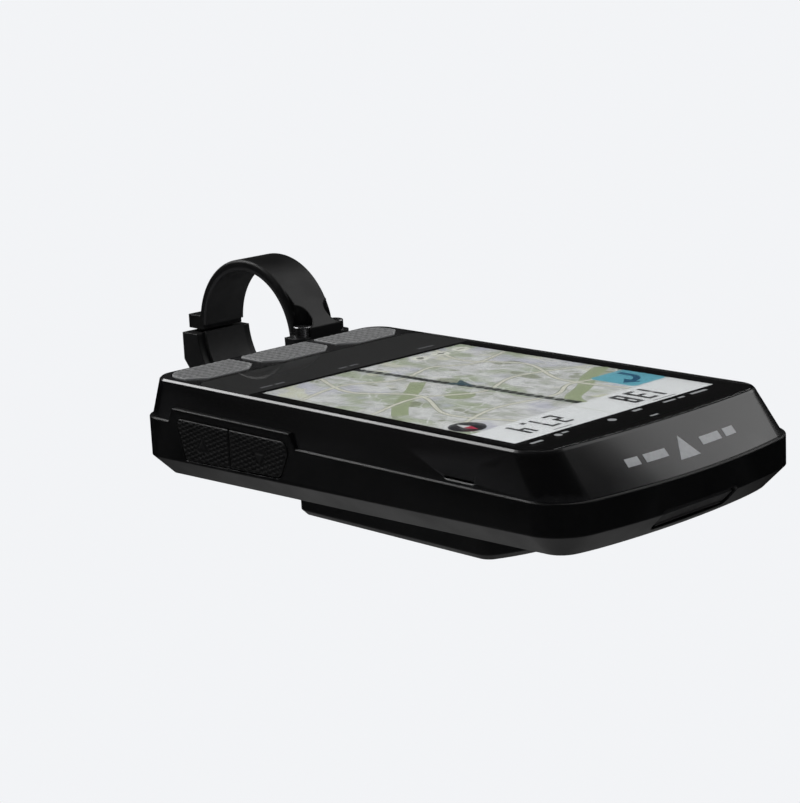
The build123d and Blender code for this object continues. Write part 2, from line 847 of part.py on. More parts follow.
def clamp_cap():
    with BuildPart() as cap:
        add(ring_half(0.7, 30.0, CLAMP_WIDTH))
        # Front flange under the screw heads
        with BuildSketch(Plane.XY.offset(CAP_FLANGE[0])):
            with Locations((0, (16.4 + LUG_FRONT) / 2)):
                Rectangle(2 * LUG_HALF, LUG_FRONT - 16.4)
        extrude(amount=CAP_FLANGE[1] - CAP_FLANGE[0])
        fillet(cap.edges().filter_by(Axis.Z).group_by(Axis.Y)[-1], 2.0)

        # Strap that runs straight from the ring's top down to the flange
        with BuildSketch(bar(0)):
            with BuildLine():
                Polyline(
                    (7.6, 16.7), (12.9, 13.1), (LUG_FRONT, 4.0),
                    (LUG_FRONT, 1.6), (16.7, 1.6), (14.0, 8.5), close=True,
                )
            make_face()
        extrude(amount=STRAP_HALF, both=True)

        # Rear flange with the hook that drops into the arm's slot
        with BuildSketch(Plane.XY.offset(CAP_FLANGE[0])):
            with Locations((0, -19.4)):
                Rectangle(CLAMP_WIDTH, 6.0)
        extrude(amount=3.4)
        with BuildSketch(Plane.XY.offset(CAP_FLANGE[0])):
            with Locations((0, -19.9)):
                Rectangle(10.0, 1.6)
        extrude(amount=-5.6)
        with BuildSketch(bar(0)):
            Circle(RING_IN)
        extrude(amount=20.0, both=True, mode=Mode.SUBTRACT)

        with BuildSketch(Plane.XY.offset(CAP_FLANGE[0] - 0.1)):
            with Locations((-SCREW_X, SCREW_Y), (SCREW_X, SCREW_Y)):
                Circle(1.35)
        extrude(amount=3.0, mode=Mode.SUBTRACT)
        with BuildSketch(Plane.XY.offset(CAP_FLANGE[1])):
            with Locations((-SCREW_X, SCREW_Y), (SCREW_X, SCREW_Y)):
                Circle(2.35)
        extrude(amount=12.0, mode=Mode.SUBTRACT)
    return cap


def bar_liners():
    with BuildPart() as liners:
        with BuildSketch(bar(0)):
            Circle(RING_IN)
            Circle(BAR_R, mode=Mode.SUBTRACT)
            Rectangle(60.0, 1.6, mode=Mode.SUBTRACT)
        extrude(amount=CLAMP_WIDTH / 2, both=True)
    return liners


def clamp_screws():
    with BuildPart() as screws:
        with BuildSketch(Plane.XY.offset(CAP_FLANGE[1])):
            with Locations((-SCREW_X, SCREW_Y), (SCREW_X, SCREW_Y)):
                Circle(2.25)
        extrude(amount=2.5)
        fillet(screws.edges().group_by(Axis.Z)[-1], 0.3)
        with BuildSketch(Plane.XY.offset(CAP_FLANGE[1])):
            with Locations((-SCREW_X, SCREW_Y), (SCREW_X, SCREW_Y)):
                Circle(1.2)
        extrude(amount=-12.2)
        with BuildSketch(Plane.XY.offset(CAP_FLANGE[1] + 2.5)):
            with Locations((-SCREW_X, SCREW_Y), (SCREW_X, SCREW_Y)):
                RegularPolygon(1.15, 6)
        extrude(amount=-1.4, mode=Mode.SUBTRACT)
    return screws


def threaded_inserts():
    with BuildPart() as inserts:
        with BuildSketch(Plane.XY.offset(LUG_TOP)):
            with Locations((-SCREW_X, SCREW_Y), (SCREW_X, SCREW_Y)):
                Circle(1.78)
                Circle(1.22, mode=Mode.SUBTRACT)
        extrude(amount=-6.9)
    return inserts


def pieces():
    """Every piece of the object, by the name it goes by."""
    board_low = BOARD_TOP - BOARD
    ribbon_low = PORT_BOARD + 0.95
    usb_bend = [
        (107.0, board_low - 0.15), (112.6, board_low - 0.15),
        (112.6, ribbon_low), (109.0, ribbon_low),
    ]
    return {
        "mount_arm": mount_arm(),
        "clamp_cap": clamp_cap(),
        "bar_liners": bar_liners(),
        "clamp_screws": clamp_screws(),
        "threaded_inserts": threaded_inserts(),
        "socket_insert": socket_insert(),
        "insert_screws": four_screws(turn(-21.3), 16.35, 1.7, -0.7, 1.0, -6.2),
        "top_housing": top_housing(),
        "bottom_housing": bottom_housing(),
        "housing_gasket": housing_gasket(),
        "housing_screws": housing_screws(),
        "cover_glass": cover_glass(),
        "glass_adhesive": glass_adhesive(),
        "display_panel": display_panel(),
        "display_frame": display_frame(),
        "display_ribbon": ribbon([(107.0, -4.55), (110.0, -4.55), (110.0, -7.8), (104.0, -7.8)], 1.2, 22.0),
        "main_board": main_board(),
        "shield_can": shield_can(),
        "gnss_antenna": chip((17.0, 9.5), BOARD_TOP, 3.2, (0, 22.4)),
        "pressure_sensor": chip((2.5, 2.0), board_low, -1.1, (-26.0, 100.0)),
        "buzzer": buzzer(),
        "vent_membrane": vent_membrane(),
        "battery": battery(),
        "battery_pad": battery_pad(),
        "battery_lead": battery_lead(),
        "battery_connector": chip((6.0, 3.6), board_low, -1.6, (0, 103.0)),
        "usb_board": chip((17.0, 13.0), PORT_BOARD, 0.8, (0, 110.8)),
        "usb_receptacle": usb_receptacle(),
        "usb_ribbon": ribbon(usb_bend, 0.9, 8.0),
        "rear_switches": rear_switches(),
        "side_switch_board": upright_board(28.9, 0.8, 14.8, 51.2),
        "side_switches": side_switches(1, SIDE_SWITCHES),
        "power_switch_board": upright_board(-29.7, 0.8, 21.5, 33.5),
        "power_switch": side_switches(-1, (27.5,)),
        "quarter_turn_plate": quarter_turn_plate(),
        "plate_screws": four_screws(turn(-20.6), 14.2, 1.8, 0.7, 0.97, 3.2),
        "rear_button_left": rear_button(-1),
        "rear_button_centre": rear_button(0),
        "rear_button_right": rear_button(1),
        "rear_plunger_left": rear_plunger(-1),
        "rear_plunger_centre": rear_plunger(0),
        "rear_plunger_right": rear_plunger(1),
        "side_button_rear": side_button(True),
        "side_button_front": side_button(False),
        "side_plunger_rear": side_plunger(1, SIDE_SWITCHES[0]),
        "side_plunger_front": side_plunger(1, SIDE_SWITCHES[1]),
        "power_button": power_button(),
        "power_plunger": side_plunger(-1, 27.5),
        "port_cover": port_cover(),
    }


os.makedirs("parts", exist_ok=True)
for name, piece in pieces().items():
    piece.part.label = name
    export_step(piece.part, f"parts/{name}.step")
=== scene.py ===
"""Looks of the cycling computer and its out-front mount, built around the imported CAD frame."""

import json
import math

import bmesh
import bpy
import numpy as np
from mathutils import Matrix, Vector
from mathutils.bvhtree import BVHTree

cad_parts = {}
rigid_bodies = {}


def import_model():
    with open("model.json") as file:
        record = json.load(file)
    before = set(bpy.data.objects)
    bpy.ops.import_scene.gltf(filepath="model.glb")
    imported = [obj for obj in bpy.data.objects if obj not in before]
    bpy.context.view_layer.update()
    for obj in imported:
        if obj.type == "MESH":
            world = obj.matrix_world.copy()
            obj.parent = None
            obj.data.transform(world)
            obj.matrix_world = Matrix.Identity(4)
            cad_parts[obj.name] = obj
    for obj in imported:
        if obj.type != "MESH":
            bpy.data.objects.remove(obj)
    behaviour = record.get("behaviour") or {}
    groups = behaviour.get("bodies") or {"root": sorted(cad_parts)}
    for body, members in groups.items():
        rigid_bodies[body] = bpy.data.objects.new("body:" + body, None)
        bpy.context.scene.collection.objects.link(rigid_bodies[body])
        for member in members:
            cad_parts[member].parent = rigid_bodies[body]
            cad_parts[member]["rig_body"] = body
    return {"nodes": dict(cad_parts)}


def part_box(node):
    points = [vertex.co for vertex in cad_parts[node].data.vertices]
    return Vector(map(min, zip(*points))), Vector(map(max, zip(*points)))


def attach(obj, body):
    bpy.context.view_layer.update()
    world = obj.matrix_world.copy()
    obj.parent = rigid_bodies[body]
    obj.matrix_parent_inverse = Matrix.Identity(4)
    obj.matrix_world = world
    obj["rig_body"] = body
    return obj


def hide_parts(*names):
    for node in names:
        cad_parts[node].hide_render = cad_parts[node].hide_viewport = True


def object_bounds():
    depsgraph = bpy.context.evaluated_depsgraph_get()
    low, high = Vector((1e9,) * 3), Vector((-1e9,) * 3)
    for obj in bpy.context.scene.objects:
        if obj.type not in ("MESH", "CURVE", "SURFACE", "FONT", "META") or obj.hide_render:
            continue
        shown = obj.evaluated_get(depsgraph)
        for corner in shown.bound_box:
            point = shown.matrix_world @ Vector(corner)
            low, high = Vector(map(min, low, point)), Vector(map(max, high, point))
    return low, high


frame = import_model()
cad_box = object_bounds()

MM = 0.001
NODES = frame["nodes"]

# Places on the case, from the frame: x from its centreline, y from its rear edge, z from the glass's top
GLASS_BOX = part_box("cover_glass")
CASE_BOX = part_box("bottom_housing")
ORIGIN = Vector(((GLASS_BOX[0].x + GLASS_BOX[1].x) / 2, CASE_BOX[0].y, GLASS_BOX[1].z))
CASE_LENGTH = (CASE_BOX[1].y - CASE_BOX[0].y) / MM

# The screen's lit area, in case millimetres
LIT_HALF = 29.0
LIT_REAR = 35.2
LIT_FRONT = 106.2
MAP_FRONT = 94.6
PANEL_TOP = (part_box("display_panel")[1].z - ORIGIN.z) / MM
FILM = 0.009
GLOW = 1.15

# Thickness of a print in the glass, and the step from one print to the next
PRINT = 0.01
PRINT_STEP = 0.014


def case(x, y, z):
    """A point in the frame from case millimetres."""
    return ORIGIN + Vector((x, y, z)) * MM


# ---------------------------------------------------------------- materials


class Paint:
    """A node material around one Principled shader, with short calls for its parts."""

    def __init__(self, name, color, roughness, metallic=0.0, **more):
        self.material = bpy.data.materials.new(name)
        self.material.use_nodes = True
        self.tree = self.material.node_tree
        self.shader = self.tree.nodes["Principled BSDF"]
        self.set("Base Color", (*color, 1.0))
        self.set("Roughness", roughness)
        self.set("Metallic", metallic)
        for key, value in more.items():
            self.set(key.replace("_", " "), value)
        self.place = self.add("ShaderNodeTexCoord").outputs["Object"]

    def set(self, key, value):
        self.shader.inputs[key].default_value = value

    def add(self, kind, **values):
        node = self.tree.nodes.new(kind)
        for key, value in values.items():
            if key in node.inputs:
                node.inputs[key].default_value = value
            else:
                setattr(node, key, value)
        return node

    def link(self, output, target):
        self.tree.links.new(output, target)

    def noise(self, size_mm, detail=2.0, stretch=None):
        """Noise whose features are about size_mm across."""
        node = self.add("ShaderNodeTexNoise", Scale=1.0 / (size_mm * MM), Detail=detail)
        place = self.place
        if stretch:
            mapping = self.add("ShaderNodeMapping", Scale=stretch)
            self.link(place, mapping.inputs["Vector"])
            place = mapping.outputs["Vector"]
        self.link(place, node.inputs["Vector"])
        return node.outputs["Fac"]

    def ramp(self, source, stops):
        """Colour ramp: stops are (place, grey or colour)."""
        node = self.add("ShaderNodeValToRGB")
        points = node.color_ramp.elements
        while len(points) < len(stops):
            points.new(0.5)
        for point, (place, value) in zip(points, stops):
            point.position = place
            point.color = (value, value, value, 1.0) if isinstance(value, (int, float)) else (*value, 1.0)
        self.link(source, node.inputs["Fac"])
        return node.outputs["Color"]

    def vary(self, key, source, low, high):
        """Lets a texture move one of the shader's values between low and high."""
        self.link(self.ramp(source, [(0.3, low), (0.7, high)]), self.shader.inputs[key])

    def bump(self, source, height_mm, strength=1.0):
        node = self.add("ShaderNodeBump", Strength=strength, Distance=height_mm * MM)
        self.link(source, node.inputs["Height"])
        previous = self.shader.inputs["Normal"].links
        if previous:
            self.link(previous[0].from_socket, node.inputs["Normal"])
        self.link(node.outputs["Normal"], self.shader.inputs["Normal"])

    def round_edges(self, radius_mm):
        """Shades sharp edges as if they had this radius."""
        node = self.add("ShaderNodeBevel", Radius=radius_mm * MM, samples=4)
        self.link(node.outputs["Normal"], self.shader.inputs["Normal"])

    def paint_edge_highlight(self, low, high, amount):
        """Paints the colour a little paler along convex edges: a painted edge highlight."""
        pointy = self.add("ShaderNodeNewGeometry").outputs["Pointiness"]
        mask = self.ramp(pointy, [(0.52, 0.0), (0.62, amount)])
        mix = self.add("ShaderNodeMix", data_type="RGBA")
        self.link(mask, mix.inputs["Factor"])
        mix.inputs["A"].default_value = (*low, 1.0)
        mix.inputs["B"].default_value = (*high, 1.0)
        self.link(mix.outputs["Result"], self.shader.inputs["Base Color"])


def moulded(name, color, roughness, grain_mm=0.25, grain=0.02, highlight_gain=1.5):
    """Injection-moulded plastic: spark-eroded grain, slight roughness patches and a painted highlight along
    its edges.
    """
    paint = Paint(name, color, roughness, Specular_IOR_Level=0.4)
    paint.round_edges(0.5)
    # Painted highlight: paler colour along convex edges
    paint.paint_edge_highlight(color, tuple(min(1.0, c * highlight_gain + 0.01) for c in color), 0.5)
    paint.vary("Roughness", paint.noise(9.0), roughness * 0.88, roughness * 1.15)
    paint.bump(paint.noise(grain_mm, 3.0), grain)
    return paint.material


def gloss_shell():
    paint = Paint("case_gloss", (0.004, 0.004, 0.0043), 0.2, Coat_Weight=0.15, Coat_Roughness=0.12)
    paint.round_edges(0.2)
    # Painted highlight: paler colour along convex edges
    paint.paint_edge_highlight((0.004, 0.004, 0.0043), (0.05, 0.05, 0.052), 0.4)
    paint.vary("Roughness", paint.noise(14.0), 0.19, 0.26)
    paint.bump(paint.noise(0.5, 3.0), 0.0025)
    return paint.material


def rubber(name, color, roughness=0.6):
    paint = Paint(name, color, roughness)
    # Painted highlight: paler colour along convex edges
    highlight_tone = tuple(c * 1.6 + 0.006 for c in color)
    paint.paint_edge_highlight(color, highlight_tone, 0.7)
    paint.bump(paint.noise(0.18, 4.0), 0.012)
    paint.vary("Roughness", paint.noise(4.0), roughness * 0.9, min(1.0, roughness * 1.2))
    return paint.material


def grooved_rubber():
    """Grey rubber with painted shade in its pressed grooves and a painted highlight on its crests."""
    paint = Paint("key_grey", (0.2, 0.2, 0.2), 0.6)
    pointy = paint.add("ShaderNodeNewGeometry").outputs["Pointiness"]
    # Painted shade in the grooves and painted highlight on the crests, from pointiness
    shade = paint.ramp(pointy, [(0.47, 0.012), (0.50, 0.16), (0.53, 0.42)])
    paint.link(shade, paint.shader.inputs["Base Color"])
    paint.bump(paint.noise(0.18, 4.0), 0.012)
    return paint.material


def metal(name, color, roughness, stretch=(1.0, 1.0, 1.0)):
    paint = Paint(name, color, roughness, metallic=1.0)
    brushed = paint.noise(0.35, 4.0, stretch)
    paint.vary("Roughness", brushed, roughness * 0.75, roughness * 1.25)
    paint.bump(brushed, 0.004)
    return paint.material


def clear_glass():
    paint = Paint("clear_glass", (0.96, 0.98, 0.98), 0.015, Transmission_Weight=1.0, IOR=1.5)
    smear = paint.noise(22.0, 3.0, (1.0, 0.35, 1.0))
    paint.vary("Roughness", smear, 0.01, 0.045)
    return paint.material


def circuit_board():
    paint = Paint("circuit_board", (0.01, 0.10, 0.05), 0.35, Coat_Weight=0.5)
    cells = paint.add("ShaderNodeTexVoronoi", feature="DISTANCE_TO_EDGE", Scale=1.0 / (1.6 * MM))
    paint.link(paint.place, cells.inputs["Vector"])
    tracks = paint.ramp(cells.outputs["Distance"], [(0.06, (0.02, 0.22, 0.10)), (0.12, (0.01, 0.10, 0.05))])
    paint.link(tracks, paint.shader.inputs["Base Color"])
    paint.bump(cells.outputs["Distance"], 0.01)
    return paint.material


def flat_colour(name, color, roughness=0.5, speck=0.12, **more):
    """Plain part with a fine mottling, for the pieces inside."""
    paint = Paint(name, color, roughness, **more)
    low = tuple(c * (1 - speck) for c in color)
    mottled = paint.ramp(paint.noise(0.8, 3.0), [(0.3, low), (0.7, color)])
    paint.link(mottled, paint.shader.inputs["Base Color"])
    paint.bump(paint.noise(0.3), 0.006)
    return paint.material


def lit(name, color, strength=1.0):
    """Glowing ink: the screen's lit picture, the glass's prints, and the painted reflection on the glass's
    rear band.
    """
    paint = Paint(name, (0.01, 0.01, 0.01), 0.6)
    paint.set("Emission Color", (*color, 1.0))
    paint.set("Emission Strength", strength)
    shade = tuple(c * 0.96 for c in color)
    mottled = paint.ramp(paint.noise(0.5), [(0.3, shade), (0.7, color)])
    paint.link(mottled, paint.shader.inputs["Emission Color"])
    return paint.material


def map_paper(strength):
    """The map's ground: pale land with green and lilac patches and a web of small tracks."""
    paint = Paint("map_ground", (0.01, 0.01, 0.01), 0.6)
    wobble = paint.add("ShaderNodeMix", data_type="VECTOR", Factor=0.0022)
    paint.link(paint.place, wobble.inputs["A"])
    swirl = paint.add("ShaderNodeTexNoise", Scale=1.0 / (11.0 * MM), Detail=3.0)
    paint.link(paint.place, swirl.inputs["Vector"])
    paint.link(swirl.outputs["Color"], wobble.inputs["B"])
    place = wobble.outputs["Result"]

    def patches(size_mm, stops, detail=2.0, shift=0.0):
        moved = paint.add("ShaderNodeMapping", Location=(shift, shift, 0.0), Scale=(1.0, 0.6, 1.0))
        paint.link(place, moved.inputs["Vector"])
        node = paint.add("ShaderNodeTexNoise", Scale=1.0 / (size_mm * MM), Detail=detail)
        paint.link(moved.outputs["Vector"], node.inputs["Vector"])
        return paint.ramp(node.outputs["Fac"], stops)

    def over(base, top, mask):
        mix = paint.add("ShaderNodeMix", data_type="RGBA")
        paint.link(mask, mix.inputs["Factor"])
        paint.link(base, mix.inputs["A"])
        paint.link(top, mix.inputs["B"])
        return mix.outputs["Result"]

    def ink(color):
        node = paint.add("ShaderNodeRGB")
        node.outputs[0].default_value = (*color, 1.0)
        return node.outputs[0]

    land = [(0.36, (0.56, 0.58, 0.52)), (0.48, (0.70, 0.70, 0.69)), (0.62, (0.84, 0.84, 0.84))]
    ground = patches(2.6, land)
    ground = over(ground, ink((0.40, 0.47, 0.29)), patches(8.0, [(0.52, 0.0), (0.62, 0.7)]))
    ground = over(ground, ink((0.60, 0.60, 0.72)), patches(9.0, [(0.54, 0.0), (0.62, 0.6)], shift=0.31))
    ground = over(ground, ink((0.27, 0.30, 0.19)), patches(5.0, [(0.62, 0.0), (0.66, 0.75)], shift=0.17))
    ground = over(ground, ink((0.78, 0.78, 0.60)), patches(7.0, [(0.63, 0.0), (0.68, 0.7)], shift=0.53))
    tracks = paint.add("ShaderNodeTexVoronoi", feature="DISTANCE_TO_EDGE", Scale=1.0 / (6.5 * MM))
    paint.link(place, tracks.inputs["Vector"])
    near = paint.ramp(tracks.outputs["Distance"], [(0.012, 0.75), (0.03, 0.0)])
    ground = over(ground, ink((0.86, 0.86, 0.84)), near)
    paint.link(ground, paint.shader.inputs["Emission Color"])
    paint.set("Emission Strength", strength)
    return paint.material


# ---------------------------------------------------------------- mesh helpers


def mesh_object(name, mesh, material, body):
    piece = bpy.data.objects.new(name, mesh)
    bpy.context.scene.collection.objects.link(piece)
    piece.data.materials.clear()
    piece.data.materials.append(material)
    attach(piece, body)
    return piece


def slabs(name, shapes, z, thick, material, body="computer"):
    """One piece made of flat slabs: each shape is an outline in case millimetres, z its lower level."""
    bm = bmesh.new()
    for shape in shapes:
        low = [bm.verts.new(case(x, y, z)) for x, y in shape]
        face = bm.faces.new(low)
        face.normal_update()
        if face.normal.z > 0:
            face.normal_flip()
        grown = bmesh.ops.extrude_face_region(bm, geom=[face])
        verts = [v for v in grown["geom"] if isinstance(v, bmesh.types.BMVert)]
        bmesh.ops.translate(bm, verts=verts, vec=(0, 0, thick * MM))
    bmesh.ops.recalc_face_normals(bm, faces=bm.faces)
    mesh = bpy.data.meshes.new(name)
    bm.to_mesh(mesh)
    bm.free()
    return mesh_object(name, mesh, material, body)


def rectangle(x0, x1, y0, y1):
    return [(x0, y0), (x1, y0), (x1, y1), (x0, y1)]


def disc(x, y, radius, count=28):
    turns = [2 * math.pi * i / count for i in range(count)]
    return [(x + radius * math.cos(a), y + radius * math.sin(a)) for a in turns]


def rounded(x0, x1, y0, y1, radius, steps=5):
    """Rectangle with rounded corners."""
    points = []
    corners = ((x1 - radius, y1 - radius, 0), (x0 + radius, y1 - radius, 90),
               (x0 + radius, y0 + radius, 180), (x1 - radius, y0 + radius, 270))
    for x, y, start in corners:
        for i in range(steps + 1):
            a = math.radians(start + 90 * i / steps)
            points.append((x + radius * math.cos(a), y + radius * math.sin(a)))
    return points


def stroke(points, width):
    """Closed outline of a line of this width through points."""
    left, right = [], []
    for i, (x, y) in enumerate(points):
        ax, ay = points[max(0, i - 1)]
        bx, by = points[min(len(points) - 1, i + 1)]
        length = math.hypot(bx - ax, by - ay)
        nx, ny = -(by - ay) / length * width / 2, (bx - ax) / length * width / 2
        left.append((x + nx, y + ny))
        right.append((x - nx, y - ny))
    return left + right[::-1]


def bend(points, steps=10):
    """Smooth line through a few points (Catmull-Rom)."""
    line = []
    ends = [points[0]] + list(points) + [points[-1]]
    for p0, p1, p2, p3 in zip(ends, ends[1:], ends[2:], ends[3:]):
        for i in range(steps):
            t = i / steps
            weights = (-0.5 * t + t * t - 0.5 * t**3, 1 - 2.5 * t * t + 1.5 * t**3,
                       0.5 * t + 2 * t * t - 1.5 * t**3, -0.5 * t * t + 0.5 * t**3)
            line.append(tuple(sum(w * p[k] for w, p in zip(weights, (p0, p1, p2, p3))) for k in (0, 1)))
    return line + [points[-1]]


SEGMENTS = {"0": "abcdef", "1": "bc", "2": "abged", "3": "abgcd", "4": "fgbc", "5": "afgcd", "6": "afgedc",
            "7": "abc", "8": "abcdefg", "9": "abcdfg"}


def digits(text, x, y, height, weight):
    """Outlines of plain seven-stroke digits that read for the rider, from their lower left corner."""
    shapes = []
    width = height * 0.42
    for sign in text:
        if sign in ".:":
            shapes.append(rectangle(x, x + weight, y, y + weight))
            x += weight * 2
            continue
        top, middle, w = y + height, y + height / 2, weight
        bars = {"a": (x, x + width, top - w, top), "d": (x, x + width, y, y + w),
                "g": (x, x + width, middle - w / 2, middle + w / 2),
                "f": (x, x + w, middle, top), "e": (x, x + w, y, middle),
                "b": (x + width - w, x + width, middle, top), "c": (x + width - w, x + width, y, middle)}
        inset = w * 0.12
        for bar in SEGMENTS[sign]:
            x0, x1, y0, y1 = bars[bar]
            shapes.append(rectangle(x0 + inset, x1 - inset, y0 + inset, y1 - inset))
        x += width + weight * 0.8
    return shapes


# ---------------------------------------------------------------- screen


def film(layer):
    """Level of a printed or lit layer, counted up from the panel's top."""
    clearance, gap = 0.006, 0.004
    return PANEL_TOP + clearance + layer * (FILM + gap)


def shine(name, shapes, layer, ink, color):
    """One lit piece of the screen's picture."""
    slabs(name, shapes, film(layer), FILM, lit(ink, color, GLOW))


def build_map():
    """Ground, woods, roads and the dotted route."""
    ground = [rectangle(-LIT_HALF, LIT_HALF, LIT_REAR, MAP_FRONT)]
    slabs("screen_map", ground, film(0), FILM, map_paper(GLOW))
    shine("screen_fields", [rectangle(-LIT_HALF, LIT_HALF, MAP_FRONT, LIT_FRONT)], 0,
          "field_white", (0.97, 0.98, 0.99))
    woods = [
        bend([(-28.8, 77), (-20, 81), (-13, 86), (-5, 90), (-2, 94.4)]),
        bend([(3.5, 55), (10, 60), (20, 67), (26, 73)]),
    ]
    shine("screen_woods", [stroke(w, 3.4) for w in woods] + [disc(7.0, 70.5, 3.2)], 1,
          "wood_green", (0.42, 0.48, 0.30))
    roads = [
        bend([(-28.8, 49), (-16, 52), (-8, 47), (4, 50), (15, 44), (28.8, 47)]),
        bend([(-21, 35.4), (-17, 48), (-22, 62), (-15, 78), (-17, 94.4)]),
        bend([(28.8, 68), (14, 65), (2, 72), (-12, 68), (-28.8, 74)]),
        bend([(13, 35.4), (18, 50), (12, 64), (20, 80), (16, 94.4)]),
        bend([(-28.8, 88), (-14, 82), (-4, 86), (12, 84), (28.8, 90)]),
    ]
    shine("screen_road_edges", [stroke(r, 1.3) for r in roads], 2, "road_edge", (0.38, 0.40, 0.34))
    shine("screen_roads", [stroke(r, 0.8) for r in roads], 3, "road_white", (0.86, 0.84, 0.72))
    route = bend([(2.8, 35.4), (1.6, 48), (1.0, 58), (-0.6, 70), (-1.0, 82), (-2.0, 94.4)], 22)
    shine("screen_route_bed", [stroke(route, 2.0)], 4, "route_bed", (0.30, 0.32, 0.29))
    dots = [disc(x, y, 1.0, 10) for x, y in route[::4]]
    shine("screen_route", dots, 5, "route_ink", (0.008, 0.009, 0.012))


def build_map_signs():
    """The rider's pointer, the compass, the turn panel and the three round icons."""
    x, y = -0.6, 63.5
    pointer = [(x - 2.3, y - 2.6), (x, y - 1.3), (x + 2.3, y - 2.6), (x, y + 3.6)]
    shine("screen_rider_mark", [pointer], 6, "rider_ink", (0.05, 0.10, 0.13))

    x, y = 25.0, 90.2
    shine("screen_compass", [disc(x, y, 3.7, 40)], 4, "compass_ink", (0.022, 0.022, 0.026))
    shine("screen_compass_south", [[(x - 1.0, y), (x, y - 2.9), (x + 1.0, y)]], 5,
          "needle_white", (0.85, 0.85, 0.85))
    shine("screen_compass_north", [[(x - 1.0, y), (x + 1.0, y), (x, y + 2.9)]], 5,
          "needle_red", (0.62, 0.05, 0.10))

    shine("screen_turn_panel", [rounded(-LIT_HALF, -18.6, 82.2, MAP_FRONT - 0.4, 1.2)], 4,
          "turn_cyan", (0.16, 0.50, 0.62))
    arrow = [
        stroke(bend([(-26.3, 83.6), (-26.1, 88.0), (-24.2, 90.2), (-22.4, 90.4)]), 1.5),
        [(-22.8, 88.1), (-19.8, 90.4), (-22.8, 92.7)],
    ]
    shine("screen_turn_arrow", arrow, 5, "arrow_ink", (0.02, 0.10, 0.20))

    rounds = [disc(-25.2 + 6.0 * i, 39.0 - 0.2 * i, 2.1) for i in range(3)]
    shine("screen_zoom_rounds", rounds, 4, "round_white", (0.97, 0.97, 0.86))
    signs = [
        rectangle(-26.3, -24.1, 38.75, 39.25), rectangle(-20.3, -18.1, 38.55, 39.05),
        rectangle(-19.45, -18.95, 37.7, 39.9), disc(-13.2, 38.6, 0.9, 16),
    ]
    shine("screen_zoom_signs", signs, 5, "sign_ink", (0.2, 0.2, 0.18))


def build_fields():
    """The two data fields ahead of the map."""
    figures = digits("27.4", 8.8, 96.4, 6.8, 1.2) + digits("138", -19.6, 96.2, 7.6, 1.4)
    shine("screen_digits", figures, 1, "digit_ink", (0.012, 0.012, 0.014))
    captions = [rectangle(12.0, 17.0, 104.6, 105.1), rectangle(-18.4, -11.4, 104.8, 105.3)]
    shine("screen_field_captions", captions, 1, "caption_grey", (0.32, 0.32, 0.33))
    shine("screen_field_rule", [rectangle(0.6, 0.9, MAP_FRONT + 0.8, LIT_FRONT - 0.8)], 1,
          "rule_grey", (0.70, 0.72, 0.64))


def build_prints(black):
    """Prints in the glass's lowest layer: black around the window, a glowing grey band that is a painted
    reflection, then pale marks.
    """
    half = (GLASS_BOX[1].x - GLASS_BOX[0].x) / 2 / MM - 0.3
    rear = (GLASS_BOX[0].y - ORIGIN.y) / MM + 0.3
    front = (GLASS_BOX[1].y - ORIGIN.y) / MM - 2.4
    lowest = (GLASS_BOX[0].z - ORIGIN.z) / MM + 0.003
    mask = [
        rectangle(-half, half, rear, LIT_REAR), rectangle(-half, half, LIT_FRONT, front),
        rectangle(-half, -LIT_HALF, LIT_REAR, LIT_FRONT), rectangle(LIT_HALF, half, LIT_REAR, LIT_FRONT),
    ]
    slabs("glass_print", mask, lowest, PRINT, black)
    # Painted reflection: a faintly glowing grey band over the glass's rear strip
    reflection_band = rectangle(-half, half, rear, LIT_REAR - 1.2)
    slabs("glass_painted_reflection", [reflection_band], lowest + PRINT_STEP, PRINT, lit("painted_reflection_grey", (0.03, 0.03, 0.03), 0.9))
    marks = [
        rectangle(24.2, 27.4, 108.2, 109.0), disc(19.6, 108.3, 0.8, 16),
        rectangle(16.6, 18.2, 107.6, 108.3), disc(5.2, 108.9, 0.9, 16),
        rectangle(-4.6, -2.2, 107.3, 108.2), rectangle(-14.6, -11.0, 107.6, 108.3),
        rectangle(-17.4, -15.6, 107.6, 108.3), rectangle(-24.4, -19.6, 107.4, 108.3),
        rectangle(-3.4, -1.2, 112.6, 113.2),
    ]
    slabs("status_marks", marks, lowest + 2 * PRINT_STEP, PRINT, lit("print_pale", (0.42, 0.43, 0.44), 0.9))
    labels = [
        rectangle(19.6, 22.2, 31.1, 31.8), rectangle(23.0, 26.2, 31.1, 31.8),
        rectangle(-1.4, 1.0, 31.0, 31.7), rectangle(1.8, 4.2, 31.0, 31.7),
        rectangle(-24.4, -19.6, 30.9, 31.5),
    ]
    dim = lit("print_dim", (0.17, 0.17, 0.18), 0.9)
    slabs("button_label_marks", labels, lowest + 2 * PRINT_STEP, PRINT, dim)


def build_screen():
    black = Paint("mask_ink", (0.004, 0.004, 0.0045), 0.12)
    black.vary("Roughness", black.noise(6.0), 0.1, 0.16)
    build_map()
    build_map_signs()
    build_fields()
    build_prints(black.material)


# ---------------------------------------------------------------- textured rubber buttons


KEY_VOXEL = 0.17
MARK_LEVEL = -12.0  # height of the side buttons' triangles


